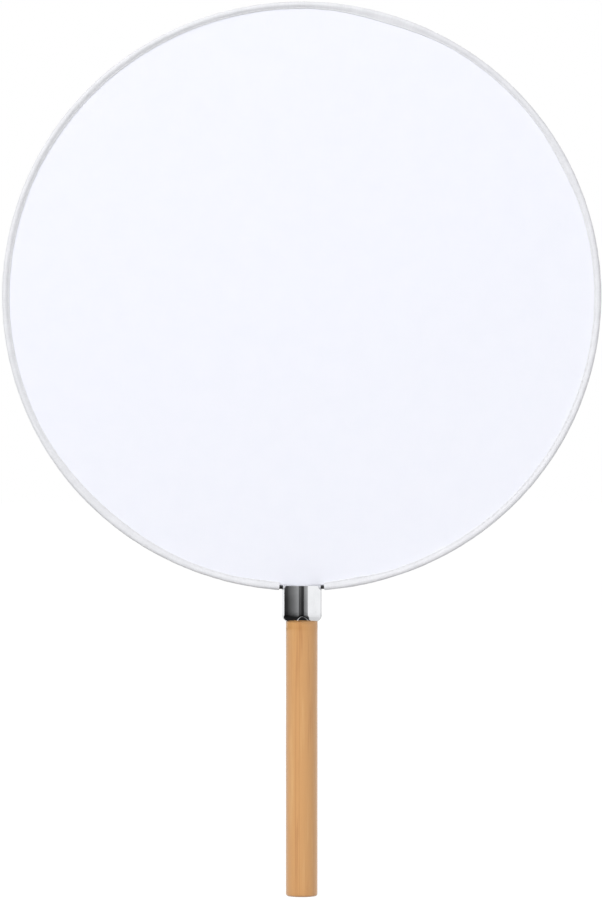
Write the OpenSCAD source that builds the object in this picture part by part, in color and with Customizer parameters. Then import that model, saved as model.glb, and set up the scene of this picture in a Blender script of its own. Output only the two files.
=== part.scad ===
// Round hand fan: a fabric disc on a wire hoop, a metal ferrule and a round wooden handle.
// The handle's axis is Z and its lower end stands at z = 0. The disc lies in the XZ plane,
// and its front faces -Y. Sizes are in millimetres.

/* [Disc] */
// Width of the disc over its binding
disc_w = 245; // [180:1:320]
// Height of the disc over its binding
disc_h = 241; // [180:1:320]

/* [Hoop wire] */
// Diameter of the hoop wire
wire_d = 1.5; // [1.2:0.1:2]
// Radius of each bend, on the wire's centre line
bend_r = 2.2; // [2:0.1:2.6]
// Straight length of each leg between its bend and the plug
leg_lead = 0.2; // [0.1:0.1:0.5]
// Height of the legs' lower ends above the ferrule's floor
leg_end = 3; // [2.8:0.1:6]

/* [Fabric panel] */
// Thickness of the panel
panel_t = 0.3; // [0.2:0.05:0.5]
// Gap between the tongue in the ferrule's mouth and each leg of the wire
tongue_gap = 0.75; // [0.3:0.05:1]
// Height that the tongue's lower edge stays above the plug
tongue_lift = 0.3; // [0.2:0.1:1]

/* [Edge binding] */
// Thickness of the tape where it is rolled round the wire
tape_t = 0.4; // [0.25:0.05:0.6]
// Thickness of the tape where it is pressed flat on the panel
lip_t = 0.25; // [0.2:0.05:0.4]
// Width of the flat lip inside the roll
lip_w = 0.6; // [0.5:0.05:1.5]
// Length of bare wire between the ferrule and each end of the tape
bare_wire = 1; // [0.5:0.1:3]
// Diameter of the sewing thread
thread_d = 0.2; // [0.1:0.05:0.25]

/* [Ferrule] */
// Height of the ferrule
ferrule_h = 14.65; // [12:0.05:20]
// Distance that the ferrule's wall stands out past the handle
ferrule_step = 1.65; // [1.4:0.05:3]
// Thickness of the ferrule's wall
ferrule_wall = 0.6; // [0.4:0.05:0.8]
// Thickness of the ferrule's floor
ferrule_floor = 0.8; // [0.5:0.1:1.2]
// Radius of the curve from the ferrule's wall in to its seat on the handle
ferrule_curve_r = 2.6; // [2.4:0.1:4]
// Height of the ferrule's rim above the wire
rim_cover = 0.15; // [0.1:0.05:0.5]

/* [Handle] */
// Diameter of the handle
handle_d = 13; // [10.5:0.1:20]
// Length of the handle
handle_h = 112.4; // [60:0.1:200]
// Radius of the handle's rounded lower edge
handle_round = 1; // [0.2:0.1:2]
// Depth of the handle's pilot hole past the screw's tip
pilot_spare = 1; // [0.5:0.5:3]

/* [Handle screw] */
// Diameter of the screw over its thread
screw_d = 2.9; // [2.4:0.1:3.5]
// Diameter of the screw's core
screw_core_d = 2.1; // [1.6:0.1:2.3]
// Length of the screw under its head
screw_l = 15; // [10:0.5:20]
// Distance between neighbouring thread crests
thread_pitch = 1.2; // [0.8:0.1:1.6]
// Diameter of the screw's head
head_d = 5.6; // [4.6:0.1:7]
// Height of the screw's head
head_h = 2; // [1.6:0.1:2.4]
// Width of the cross recess in the head
recess_w = 0.8; // [0.6:0.1:1]
// Length of the cross recess in the head
recess_l = 3; // [2:0.1:3.6]
// Depth of the cross recess in the head
recess_deep = 1.2; // [0.8:0.1:1.4]

/* [Fits] */
// Gap on each side of the wire in the tape, the plug and the panel's edge
wire_gap = 0.05; // [0.03:0.01:0.1]
// Gap on each side of the wire in the ferrule's notches
notch_gap = 0.1; // [0.05:0.01:0.2]
// Gap between the ferrule's bore and the outside of the wire's bends
bend_gap = 0.35; // [0.1:0.05:0.6]
// Gap between the plug and the ferrule's bore
plug_gap = 0.05; // [0.03:0.01:0.1]
// Gap between the screw's head and its pocket in the plug
head_gap = 0.4; // [0.2:0.1:0.6]
// Gap between the screw and the wood
screw_gap = 0.05; // [0.03:0.01:0.1]
// Gap between the screw and the hole in the ferrule's floor
floor_hole_gap = 0.15; // [0.1:0.05:0.3]
// Gap between the sewing thread and the tape
thread_gap = 0.02; // [0.01:0.01:0.05]

/* [Hidden] */
$fn = 96;
PROFILE_FN = 32;
// Length of a cut past the face that it opens
past = 1;
// Diameter of the flat on the screw's tip
tip_d = 0.2;

function rounded(value) = round(value * 1000) / 1000;

// The ferrule: its curve starts at this height and ends on the handle's edge
ferrule_d = handle_d + 2 * ferrule_step;
bore_r = ferrule_d / 2 - ferrule_wall;
floor_z = handle_h + ferrule_floor;
rim_z = handle_h + ferrule_h;
curve_z = handle_h + sqrt(pow(ferrule_curve_r, 2) - pow(ferrule_curve_r - ferrule_step, 2));

// The wire's centre line is an oval of four arcs. Each side arc spans 120 degrees and each of
// the flatter top and bottom arcs 60, so they meet where both radii lie on one line.
roll_r = wire_d / 2 + wire_gap + tape_t;
half_w = disc_w / 2 - roll_r;
half_h = disc_h / 2 - roll_r;
side_shift = rounded((half_w - half_h) / (sqrt(3) - 1));
side_r = half_w - side_shift;
flat_r = side_r + 2 * side_shift;
flat_shift = sqrt(3) * side_shift;

// The oval's height: the wire crosses the ferrule's wall just under its rim
wall_rise = flat_r - sqrt(pow(flat_r, 2) - pow(bore_r, 2));
notch_z = rim_z - rim_cover - wire_d / 2;
centre_z = rounded(notch_z - wall_rise + half_h);

// Half the angle that is open at the bends and at the tape's ends, at the bottom arc's centre
bend_angle = rounded(asin((bore_r - bend_gap) / (flat_r + bend_r)));
tape_angle = rounded(asin((ferrule_d / 2 + bare_wire) / flat_r));

// The centre of the right bend, and from it the legs, the plug and the panel's tongue
bend_x = (flat_r + bend_r) * sin(bend_angle);
bend_drop = (flat_r + bend_r) * cos(bend_angle) - flat_shift;
leg_x = bend_x - bend_r;
plug_z = centre_z - bend_drop - leg_lead;
leg_z = floor_z + leg_end;
tongue_w = 2 * (leg_x - wire_d / 2 - tongue_gap);
tongue_z = plug_z + tongue_lift;

// The tape's lips and the stitches on them: distances from the wire's centre line
lip_edge = roll_r + lip_w;
stitch_line = roll_r + lip_w / 2;
stitch_height = panel_t / 2 + lip_t + thread_gap + thread_d / 2;

// Moves along an axis by the whole millimetres of a length, then by its thousandths and then
// by its rest, which keeps more of its digits
module shift(axis, length) {
    whole = floor(length);
    thousandths = floor((length - whole) * 1000) / 1000;
    translate(axis * whole) translate(axis * thousandths)
        translate(axis * (length - whole - thousandths)) children();
}
module shift_x(length) shift([1, 0, 0], length) children();
module shift_y(length) shift([0, 1, 0], length) children();

// Stands a shape drawn in the XY plane up in the disc's plane, about the disc's centre
module in_disc_plane() {
    translate([0, 0, centre_z]) rotate([90, 0, 0]) children();
}

// Sweeps a profile along an arc, where x = 0 is the centre line and +x points out of the disc
module sweep(radius, first, angle) {
    rotate_extrude(angle = angle, start = first) translate([radius, 0]) children();
}

module left_arc() {
    translate([-side_shift, 0, 0]) sweep(side_r, 120, 120) children();
}

module right_arc() {
    translate([side_shift, 0, 0]) sweep(side_r, -60, 120) children();
}

module top_arc() {
    shift_y(-flat_shift) sweep(flat_r, 60, 60) children();
}

// The left half of the bottom arc, which stops short of the handle's axis by the open angle
module bottom_arc(open_angle) {
    shift_y(flat_shift) sweep(flat_r, 240, 30 - open_angle) children();
}

// Sweeps a profile round the whole hoop, with the bottom arc open at the ferrule
module round_hoop(open_angle) {
    in_disc_plane() {
        bottom_arc(open_angle) children();
        left_arc() children();
        top_arc() children();
        right_arc() children();
        mirror([1, 0, 0]) bottom_arc(open_angle) children();
    }
}

// A filled slice of the oval, from an arc's centre out to the panel's edge
module slice(radius, first, angle) {
    rotate_extrude(angle = angle, start = first)
        translate([0, -panel_t / 2]) square([radius, panel_t]);
}

// Half section of a cup's outside: straight wall, curved lower edge and flat seat
module cup_section(radius, curve_r, low, high) {
    translate([0, low]) square([radius - curve_r, high - low]);
    translate([0, curve_z]) square([radius, high - curve_z]);
    intersection() {
        translate([radius - curve_r, curve_z]) circle(curve_r);
        translate([0, low]) square([radius, high - low]);
    }
}

module handle() color([0.84, 0.65, 0.44]) {
    hole_l = screw_l - ferrule_floor + pilot_spare;
    difference() {
        rotate_extrude() {
            translate([0, handle_round]) square([handle_d / 2, handle_h - handle_round]);
            square([handle_d / 2 - handle_round, handle_round]);
            intersection() {
                translate([handle_d / 2 - handle_round, handle_round]) circle(handle_round);
                square([handle_d / 2, handle_h]);
            }
        }
        translate([0, 0, handle_h - hole_l])
            cylinder(d = screw_d + 2 * screw_gap, h = hole_l + past);
    }
}

module ferrule() color([0.78, 0.79, 0.81]) {
    notch_d = wire_d + 2 * notch_gap;
    difference() {
        rotate_extrude() cup_section(ferrule_d / 2, ferrule_curve_r, handle_h, rim_z);
        rotate_extrude() cup_section(bore_r, ferrule_curve_r - ferrule_wall, floor_z, rim_z + past);
        translate([0, 0, handle_h - past])
            cylinder(d = screw_d + 2 * floor_hole_gap, h = ferrule_floor + 2 * past);
        translate([0, 0, notch_z]) rotate([0, 90, 0])
            cylinder(d = notch_d, h = ferrule_d + 2 * past, center = true);
        translate([-ferrule_d / 2 - past, -notch_d / 2, notch_z])
            cube([ferrule_d + 2 * past, notch_d, ferrule_h]);
    }
}

// One crest of the thread, a ring with sloping sides
module thread_crest() {
    slope = thread_pitch / 3;
    cylinder(d1 = screw_core_d, d2 = screw_d, h = slope);
    translate([0, 0, slope]) cylinder(d1 = screw_d, d2 = screw_core_d, h = slope);
}

module handle_screw() color([0.72, 0.72, 0.7]) {
    tip_l = screw_d;
    thread_l = screw_l - ferrule_floor - tip_l;
    thread_z = floor_z - screw_l + tip_l;
    difference() {
        union() {
            translate([0, 0, floor_z]) cylinder(d = head_d, h = head_h);
            translate([0, 0, thread_z]) cylinder(d = screw_core_d, h = screw_l - tip_l);
            translate([0, 0, thread_z - tip_l]) cylinder(d1 = tip_d, d2 = screw_core_d, h = tip_l);
            for (z = [0 : thread_pitch : thread_l - thread_pitch])
                translate([0, 0, thread_z + z]) thread_crest();
        }
        for (turn = [0, 90])
            translate([0, 0, floor_z + head_h - recess_deep]) rotate([0, 0, turn])
                translate([-recess_l / 2, -recess_w / 2, 0])
                    cube([recess_l, recess_w, recess_deep + past]);
    }
}

module hoop_plug() color([0.16, 0.16, 0.17]) {
    difference() {
        rotate_extrude()
            cup_section(bore_r - plug_gap, ferrule_curve_r - ferrule_wall - plug_gap,
                floor_z, plug_z);
        translate([0, 0, floor_z - past])
            cylinder(d = head_d + 2 * head_gap, h = past + head_h + head_gap);
        for (side = [-1, 1])
            translate([side * leg_x, 0, leg_z - wire_gap])
                cylinder(d = wire_d + 2 * wire_gap, h = plug_z - leg_z + wire_gap + past);
    }
}

// The left end of the wire: the last stretch of hoop, a bend and a straight leg
module wire_end() {
    bottom_arc(bend_angle) circle(d = wire_d, $fn = PROFILE_FN);
    mirror([1, 0, 0]) shift_y(-bend_drop) shift_x(bend_x) {
        sweep(bend_r, 90 + bend_angle, 90 - bend_angle) circle(d = wire_d, $fn = PROFILE_FN);
        translate([-bend_r, 0, 0]) rotate([90, 0, 0])
            cylinder(d = wire_d, h = centre_z - bend_drop - leg_z);
    }
}

module hoop_wire() color([0.07, 0.07, 0.08]) {
    in_disc_plane() {
        wire_end();
        left_arc() circle(d = wire_d, $fn = PROFILE_FN);
        top_arc() circle(d = wire_d, $fn = PROFILE_FN);
        right_arc() circle(d = wire_d, $fn = PROFILE_FN);
        mirror([1, 0, 0]) wire_end();
    }
}

module fabric_panel() color([0.96, 0.97, 1]) {
    inset = wire_d / 2 + wire_gap;
    in_disc_plane() {
        translate([-side_shift, 0, 0]) slice(side_r - inset, 120, 120);
        translate([side_shift, 0, 0]) slice(side_r - inset, -60, 120);
        shift_y(-flat_shift) slice(flat_r - inset, 60, 60);
        shift_y(flat_shift) slice(flat_r - inset, 240, 60);
    }
    translate([-tongue_w / 2, -panel_t / 2, tongue_z])
        cube([tongue_w, panel_t, centre_z - tongue_z]);
}

module edge_binding() color([0.93, 0.93, 0.95]) {
    lips_t = panel_t + 2 * lip_t;
    round_hoop(tape_angle) difference() {
        union() {
            circle(roll_r, $fn = PROFILE_FN);
            translate([-lip_edge, -lips_t / 2]) square([lip_edge, lips_t]);
        }
        circle(wire_d / 2 + wire_gap, $fn = PROFILE_FN);
        translate([-lip_edge - past, -panel_t / 2]) square([lip_edge + past, panel_t]);
    }
}

// The stitches on one face of the lips: side is 1 on the front and -1 on the back
module stitches(side) {
    round_hoop(tape_angle)
        translate([-stitch_line, side * stitch_height]) circle(d = thread_d, $fn = PROFILE_FN);
}

module needle_thread() color([0.98, 0.98, 0.98]) stitches(1);

module bobbin_thread() color([0.98, 0.98, 0.98]) stitches(-1);

handle();
ferrule();
handle_screw();
hoop_plug();
hoop_wire();
fabric_panel();
edge_binding();
needle_thread();
bobbin_thread();
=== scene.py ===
"""Looks of a round hand fan: taut white cloth on a wire hoop, a chrome cup and a bamboo rod.

Sizes are in metres. The rod's axis is Z, its lower end stands at z = 0, and the front of the
disc faces -Y.
"""
import logging
import math
from abc import ABC, abstractmethod
from dataclasses import dataclass, field
from enum import Enum
from typing import Any, Callable, Sequence

import bmesh
import bpy
from mathutils import Matrix, Vector, noise


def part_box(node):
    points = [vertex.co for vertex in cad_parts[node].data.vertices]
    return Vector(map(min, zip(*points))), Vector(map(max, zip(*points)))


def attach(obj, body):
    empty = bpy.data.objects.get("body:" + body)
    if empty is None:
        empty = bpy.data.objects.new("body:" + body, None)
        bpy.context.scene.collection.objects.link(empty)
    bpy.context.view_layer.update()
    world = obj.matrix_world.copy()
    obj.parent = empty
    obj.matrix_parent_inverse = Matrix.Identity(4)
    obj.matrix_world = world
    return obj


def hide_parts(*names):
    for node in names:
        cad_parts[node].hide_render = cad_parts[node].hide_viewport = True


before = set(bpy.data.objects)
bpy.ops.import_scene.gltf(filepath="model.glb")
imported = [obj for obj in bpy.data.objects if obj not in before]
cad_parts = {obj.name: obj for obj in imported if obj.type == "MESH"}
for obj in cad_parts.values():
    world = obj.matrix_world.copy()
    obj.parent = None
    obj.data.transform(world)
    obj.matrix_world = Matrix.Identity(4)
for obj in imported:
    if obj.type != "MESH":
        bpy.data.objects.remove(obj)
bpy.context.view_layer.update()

LOG = logging.getLogger("hand_fan")
BODY = "root"

Pair = tuple[float, float]
Triple = tuple[float, float, float]
Colour = Triple

MM = 0.001
WHITE: Colour = (1.0, 1.0, 1.0)

# Points closer than this count as one
SAME_PLACE = 0.001 * MM

# The disc's height over its binding, which no box gives, because the binding stops at the cup
DISC_HEIGHT = 241 * MM

# A colour Mix node's sockets, by number because their names repeat
MIX_SHARE, MIX_FIRST, MIX_SECOND, MIX_RESULT = 0, 6, 7, 2


class Element(Enum):
    """What an edit-mode step selects."""

    VERTEX = "VERT"
    EDGE = "EDGE"
    FACE = "FACE"


class Side(Enum):
    """A face of the disc, with the sign of Y on that face."""

    FRONT = -1
    BACK = 1


class Signal:
    """A shader node's output that Python's operators combine through Math nodes."""

    def __init__(self, recipe: "Recipe", socket: bpy.types.NodeSocket) -> None:
        """Wraps an output socket of the recipe's node tree."""
        self.recipe = recipe
        self.socket = socket

    def _maths(self, operation: str, first: Any, second: Any = 0.0) -> "Signal":
        """Adds one Math node and returns its output."""
        return self.recipe.node("Math", {"operation": operation}, {0: first, 1: second})

    def __add__(self, other: Any) -> "Signal":
        """Sum."""
        return self._maths("ADD", self, other)

    __radd__ = __add__

    def __sub__(self, other: Any) -> "Signal":
        """Difference."""
        return self._maths("SUBTRACT", self, other)

    def __rsub__(self, other: Any) -> "Signal":
        """Difference, with this value second."""
        return self._maths("SUBTRACT", other, self)

    def __mul__(self, other: Any) -> "Signal":
        """Product."""
        return self._maths("MULTIPLY", self, other)

    __rmul__ = __mul__

    def __truediv__(self, other: Any) -> "Signal":
        """Quotient."""
        return self._maths("DIVIDE", self, other)

    def __rtruediv__(self, other: Any) -> "Signal":
        """Quotient, with this value second."""
        return self._maths("DIVIDE", other, self)

    def __pow__(self, power: Any) -> "Signal":
        """Power."""
        return self._maths("POWER", self, power)

    def __neg__(self) -> "Signal":
        """Opposite."""
        return self * -1.0

    def sine(self) -> "Signal":
        """Sine of a value in radians."""
        return self._maths("SINE", self)

    def wave(self) -> "Signal":
        """A sine of a value in radians, raised to run from 0 to 1."""
        return self.sine() * 0.5 + 0.5

    def size(self) -> "Signal":
        """Absolute value."""
        return self._maths("ABSOLUTE", self)

    def highest(self, other: Any) -> "Signal":
        """The larger of two values."""
        return self._maths("MAXIMUM", self, other)

    def turn_from(self, other: Any) -> "Signal":
        """Angle in radians whose tangent is this value over the other."""
        return self._maths("ARCTAN2", self, other)

    def reach(self, other: "Signal") -> "Signal":
        """Length of a flat vector with these two parts."""
        return (self * self + other * other) ** 0.5

    def between(self, low: float, high: float) -> "Signal":
        """A value that goes from low to high as this one goes from 0 to 1."""
        return self * (high - low) + low

    def step(self, low: float, high: float) -> "Signal":
        """A smooth step from 0 at low to 1 at high."""
        sockets = {"Value": self, "From Min": low, "From Max": high}
        return self.recipe.node("MapRange", {"interpolation_type": "SMOOTHSTEP"}, sockets)


class Recipe:
    """Builds one material's or the world's nodes."""

    def __init__(self, tree: bpy.types.NodeTree) -> None:
        """Starts from an empty node tree."""
        self.tree = tree
        tree.nodes.clear()

    def node(
        self, kind: str, settings: dict[str, Any], sockets: dict[Any, Any], output: Any = 0
    ) -> Signal:
        """Adds one shader node.

        Args:
            kind: The node's type without its ShaderNode prefix.
            settings: Properties to set first. "stops" is a ramp's list of place and colour.
            sockets: A value or a signal for each input, by name or by number.
            output: The output to return, by name or by number.

        Returns:
            The output as a signal.
        """
        made = self.tree.nodes.new("ShaderNode" + kind)
        for name, value in settings.items():
            if name == "stops":
                self._set_stops(made.color_ramp, value)
            else:
                setattr(made, name, value)
        for name, value in sockets.items():
            if isinstance(value, Signal):
                self.tree.links.new(value.socket, made.inputs[name])
            else:
                made.inputs[name].default_value = value
        return Signal(self, made.outputs[output])

    @staticmethod
    def _set_stops(ramp: bpy.types.ColorRamp, stops: Sequence[tuple[float, Colour]]) -> None:
        """Gives a colour ramp its stops.

        Args:
            ramp: The ramp, with the stops that it starts with.
            stops: Place and colour of each stop.
        """
        while len(ramp.elements) < len(stops):
            ramp.elements.new(1.0)
        for element, (place, colour) in zip(ramp.elements, stops):
            element.position = place
            element.color = (*colour, 1.0)

    def places(self) -> Signal:
        """Object coordinates in metres."""
        return self.node("TexCoord", {}, {}, "Object")

    def own_uv(self) -> Signal:
        """The piece's own UV map."""
        return self.node("TexCoord", {}, {}, "UV")

    def seen_directly(self) -> Signal:
        """Tells the rays that show a surface from those that only light other surfaces.

        Returns:
            1 for rays from the lens and for those that metal or glass sends on, else 0.
        """
        paths = self.node("LightPath", {}, {}).socket.node.outputs
        names = ("Is Camera Ray", "Is Glossy Ray", "Is Transmission Ray")
        camera, glossy, through = (Signal(self, paths[name]) for name in names)
        return camera.highest(glossy).highest(through)

    def scaled(self, vector: Signal, sizes: float | Triple, turn: float = 0.0) -> Signal:
        """Measures a vector in features of a size.

        Args:
            vector: A vector in metres.
            sizes: Size of the features, one for all axes or one for each.
            turn: Angle in degrees by which the result is turned about Z.

        Returns:
            The vector in features.
        """
        each = sizes if isinstance(sizes, tuple) else (sizes,) * 3
        scale = tuple(1 / size for size in each)
        rotation = (0.0, 0.0, math.radians(turn))
        return self.node("Mapping", {}, {"Vector": vector, "Rotation": rotation, "Scale": scale})

    def noise(
        self,
        vector: Signal,
        sizes: float | Triple,
        detail: float = 2.0,
        roughness: float = 0.5,
        turn: float = 0.0,
    ) -> Signal:
        """Adds noise.

        Args:
            vector: Where the noise is read, in metres.
            sizes: Size of its features, one for all axes or one for each.
            detail: How many finer layers it has.
            roughness: How strong the finer layers are.
            turn: Angle in degrees by which it is turned about Z.

        Returns:
            The noise, about 0.5.
        """
        place = self.scaled(vector, sizes, turn)
        sockets = {"Vector": place, "Scale": 1.0, "Detail": detail, "Roughness": roughness}
        return self.node("TexNoise", {}, sockets)

    def split(self, vector: Signal) -> list[Signal]:
        """The three parts of a vector."""
        parts = self.node("SeparateXYZ", {}, {"Vector": vector}).socket.node.outputs
        return [Signal(self, part) for part in parts]

    def mix(self, blend: str, share: Any, first: Any, second: Any) -> Signal:
        """Mixes two colours.

        Args:
            blend: The Mix node's blend type.
            share: Share of the second colour, a value or a signal.
            first: The first colour, as three values or a signal.
            second: The second colour.

        Returns:
            The mixed colour.
        """
        sockets = {MIX_SHARE: share, MIX_FIRST: first, MIX_SECOND: second}
        for place in (MIX_FIRST, MIX_SECOND):
            if not isinstance(sockets[place], Signal):
                sockets[place] = (*sockets[place], 1.0)
        return self.node("Mix", {"data_type": "RGBA", "blend_type": blend}, sockets, MIX_RESULT)

    def blend(self, share: Any, first: Any, second: Any) -> Signal:
        """A colour between two colours."""
        return self.mix("MIX", share, first, second)

    def tinted(self, colour: Any, shade: Signal) -> Signal:
        """A colour multiplied by a grey value."""
        grey = self.node("CombineColor", {}, {"Red": shade, "Green": shade, "Blue": shade})
        return self.mix("MULTIPLY", 1.0, colour, grey)

    def bump(self, height: Signal, depth: float, under: Signal | None = None) -> Signal:
        """A normal from a height between 0 and 1 that stands for a depth in metres."""
        normal = {} if under is None else {"Normal": under}
        return self.node("Bump", {}, {"Height": height, "Distance": depth, "Strength": 1.0, **normal})

    def surface(self, sockets: dict[str, Any]) -> None:
        """Finishes a material with a Principled shader and its output."""
        self.output(self.node("BsdfPrincipled", {}, sockets))

    def output(self, shader: Signal, kind: str = "OutputMaterial") -> None:
        """Links a shader to a new output node."""
        made = self.tree.nodes.new("ShaderNode" + kind)
        self.tree.links.new(shader.socket, made.inputs["Surface"])


@dataclass(frozen=True)
class Finish(ABC):
    """A surface finish, which fills the material of its name."""

    name: str

    def material(self) -> bpy.types.Material:
        """Makes the finish's material.

        Returns:
            The material with its nodes.
        """
        made = bpy.data.materials.new(self.name)
        made.use_nodes = True
        self.fill(Recipe(made.node_tree))
        return made

    @abstractmethod
    def fill(self, recipe: Recipe) -> None:
        """Adds the finish's own nodes to its material's recipe."""


@dataclass(frozen=True)
class Bamboo(Finish):
    """Sanded bamboo with lengthwise fibres under a thin satin lacquer."""

    name: str = "lacquered_bamboo"
    pale: Colour = (0.70, 0.392, 0.150)
    gold: Colour = (0.632, 0.323, 0.113)
    brown: Colour = (0.495, 0.222, 0.070)
    tones: tuple[float, ...] = (0.28, 0.44, 0.56, 0.72)
    band: Triple = (3.2 * MM, 3.2 * MM, 45 * MM)
    fibre: Triple = (0.28 * MM, 0.28 * MM, 14 * MM)
    fibre_share: float = 0.28
    fibre_relief: float = 0.7
    bundle: Triple = (0.75 * MM, 0.75 * MM, 150 * MM)
    bundle_edge: Pair = (0.60, 0.72)
    bundle_share: float = 0.38
    bundle_relief: float = 0.3
    pore: float = 0.75 * MM
    pore_edge: Pair = (0.12, 0.34)
    pore_share: float = 0.55
    pore_relief: float = 0.5
    cut_end: Pair = (0.8, 0.97)
    relief: float = 0.014 * MM
    roughness: Pair = (0.36, 0.58)

    def fill(self, recipe: Recipe) -> None:
        """Adds bands, fibres and bundles along Z, and pores on the cut ends.

        Args:
            recipe: The material's recipe.
        """
        place = recipe.places()
        bands = recipe.noise(place, self.band, roughness=0.45)
        fibres = recipe.noise(place, self.fibre, detail=3.0, roughness=0.6)
        bundles = recipe.noise(place, self.bundle, detail=1.0).step(*self.bundle_edge)
        grain = bands * (1 - self.fibre_share) + fibres * self.fibre_share
        stops = tuple(zip(self.tones, (self.brown, self.gold, self.gold, self.pale)))
        ground = recipe.node("ValToRGB", {"stops": stops}, {"Fac": grain})
        streaked = recipe.blend(bundles * self.bundle_share, ground, self.brown)
        x, y, _ = recipe.split(place)
        flat = recipe.node("CombineXYZ", {}, {"X": x, "Y": y, "Z": 0.0})
        cells = {"Vector": recipe.scaled(flat, self.pore), "Scale": 1.0}
        holes = 1.0 - recipe.node("TexVoronoi", {"feature": "F1"}, cells).step(*self.pore_edge)
        facing = recipe.node("NewGeometry", {}, {}, "Normal")
        pores = recipe.split(facing)[2].size().step(*self.cut_end) * holes
        height = fibres * self.fibre_relief + bundles * self.bundle_relief
        recipe.surface(
            {
                "Base Color": recipe.blend(pores * self.pore_share, streaked, self.brown),
                "Roughness": fibres.between(*self.roughness),
                "Specular IOR Level": 0.45,
                "Coat Weight": 0.7,
                "Coat Roughness": 0.22,
                "Normal": recipe.bump(height - pores * self.pore_relief, self.relief),
            }
        )


@dataclass(frozen=True)
class Chrome(Finish):
    """Polished chrome plate with faint turning lines and a little waviness."""

    name: str = "polished_chrome"
    colour: Colour = (0.86, 0.87, 0.89)
    wave: float = 3.2 * MM
    wave_depth: float = 0.012 * MM
    line: Triple = (5 * MM, 5 * MM, 0.10 * MM)
    line_depth: float = 0.0006 * MM
    line_roughness: float = 0.02
    smudge: float = 7.1111 * MM
    smudge_edge: Pair = (0.42, 0.75)
    smudge_roughness: float = 0.06
    dull_edge: Pair = (0.5, 0.8)
    dull_share: float = 0.05
    roughness: float = 0.045

    def fill(self, recipe: Recipe) -> None:
        """Adds a waviness, turning lines round Z, and smudges.

        Args:
            recipe: The material's recipe.
        """
        place = recipe.places()
        waves = recipe.noise(place, self.wave, detail=1.0)
        lines = recipe.noise(place, self.line)
        smudges = recipe.noise(place, self.smudge, detail=4.0, roughness=0.6)
        shade = 1.0 - smudges.step(*self.dull_edge) * self.dull_share
        rough = smudges.step(*self.smudge_edge) * self.smudge_roughness
        waviness = recipe.bump(waves, self.wave_depth)
        recipe.surface(
            {
                "Base Color": recipe.tinted(self.colour, shade),
                "Metallic": 1.0,
                "Roughness": rough + lines * self.line_roughness + self.roughness,
                "Normal": recipe.bump(lines, self.line_depth, waviness),
            }
        )


@dataclass(frozen=True)
class Enamel(Finish):
    """Black coating on the hoop wire, with a fine orange peel and paler rubbed specks."""

    name: str = "black_wire_coating"
    colour: Colour = (0.012, 0.012, 0.013)
    worn: Colour = (0.05, 0.05, 0.052)
    worn_edge: Pair = (0.58, 0.74)
    worn_share: float = 0.5
    grain: float = 0.35 * MM
    grain_depth: float = 0.01 * MM
    roughness: Pair = (0.34, 0.54)

    def fill(self, recipe: Recipe) -> None:
        """Adds the peel and the specks.

        Args:
            recipe: The material's recipe.
        """
        peel = recipe.noise(recipe.places(), self.grain, detail=3.0)
        rubbed = peel.step(*self.worn_edge) * self.worn_share
        recipe.surface(
            {
                "Base Color": recipe.blend(rubbed, self.colour, self.worn),
                "Roughness": peel.between(*self.roughness),
                "Coat Weight": 0.2,
                "Coat Roughness": 0.2,
                "Normal": recipe.bump(peel, self.grain_depth),
            }
        )


@dataclass(frozen=True)
class MouldedPlastic(Finish):
    """Matt black moulded plastic with a fine eroded grain."""

    name: str = "moulded_plastic"
    colour: Colour = (0.028, 0.028, 0.030)
    shade: Pair = (0.8, 1.2)
    grain: float = 0.22 * MM
    grain_depth: float = 0.02 * MM
    roughness: Pair = (0.5, 0.7)

    def fill(self, recipe: Recipe) -> None:
        """Adds the grain to the colour, the roughness and the bump.

        Args:
            recipe: The material's recipe.
        """
        grain = recipe.noise(recipe.places(), self.grain, detail=4.0, roughness=0.6)
        recipe.surface(
            {
                "Base Color": recipe.tinted(self.colour, grain.between(*self.shade)),
                "Roughness": grain.between(*self.roughness),
                "Specular IOR Level": 0.4,
                "Normal": recipe.bump(grain, self.grain_depth),
            }
        )


@dataclass(frozen=True)
class ZincSteel(Finish):
    """Zinc-plated steel of a small wood screw, with cloudy patches and turning marks round Z."""

    name: str = "zinc_plated_steel"
    colour: Colour = (0.60, 0.60, 0.57)
    dull: Colour = (0.46, 0.45, 0.42)
    cloud: float = 0.5 * MM
    mark: Triple = (20 * MM, 20 * MM, MM / 9)
    mark_depth: float = 0.003 * MM
    roughness: Pair = (0.3, 0.5)

    def fill(self, recipe: Recipe) -> None:
        """Adds the patches and the marks.

        Args:
            recipe: The material's recipe.
        """
        place = recipe.places()
        clouds = recipe.noise(place, self.cloud, detail=4.0, roughness=0.6)
        recipe.surface(
            {
                "Base Color": recipe.blend(clouds, self.colour, self.dull),
                "Metallic": 1.0,
                "Roughness": clouds.between(*self.roughness),
                "Normal": recipe.bump(recipe.noise(place, self.mark), self.mark_depth),
            }
        )


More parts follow.
